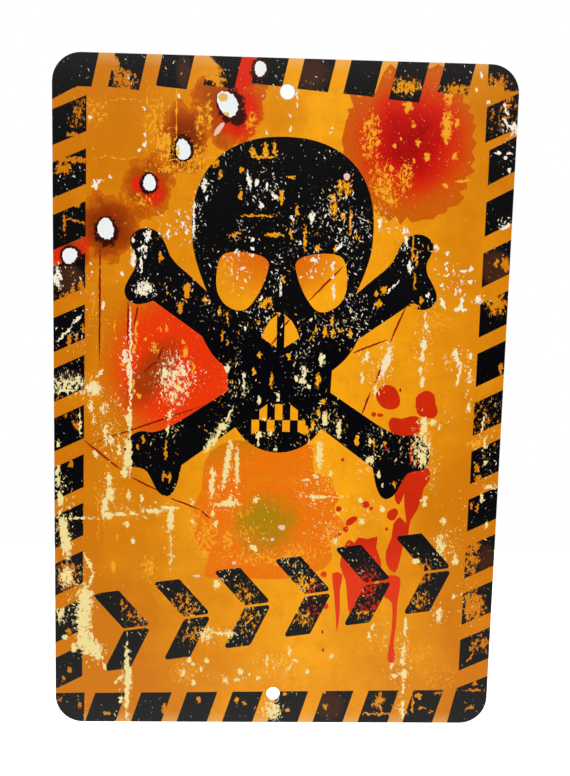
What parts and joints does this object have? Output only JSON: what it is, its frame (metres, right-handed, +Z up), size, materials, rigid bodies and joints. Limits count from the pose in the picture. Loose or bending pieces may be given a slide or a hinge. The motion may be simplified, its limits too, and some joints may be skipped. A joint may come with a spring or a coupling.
{
  "type": "novelty danger sign",
  "caption": "Flat rounded metal sign with a printed skull and crossbones, chevrons and a hazard-barred border, and a mounting hole at the top and bottom.",
  "frame": {"origin": "on the back face, midway between the two mounting holes", "axes": "+Z up along the sign's height, +Y out of the back face towards the wall, so the printed face looks along -Y"},
  "size_m": [0.2032, 0.0011, 0.3048],
  "materials": {
    "sheet_metal": "mill finish sheet with fine rolling grain",
    "orange_ink": "glossy cured ink film with printed wear",
    "stain_ink": "glossy cured ink film",
    "red_ink": "glossy cured ink film",
    "black_ink": "glossy cured ink film with printed wear",
    "char_ink": "glossy cured ink film",
    "white_ink": "glossy cured ink film"
  },
  "bodies": {
    "root": {"sign_blank": "sheet_metal", "ground_print": "orange_ink", "stain_print": "stain_ink", "splash_print": "red_ink", "black_print": "black_ink", "char_print": "char_ink", "white_print": "white_ink"}
  },
  "joints": []
}
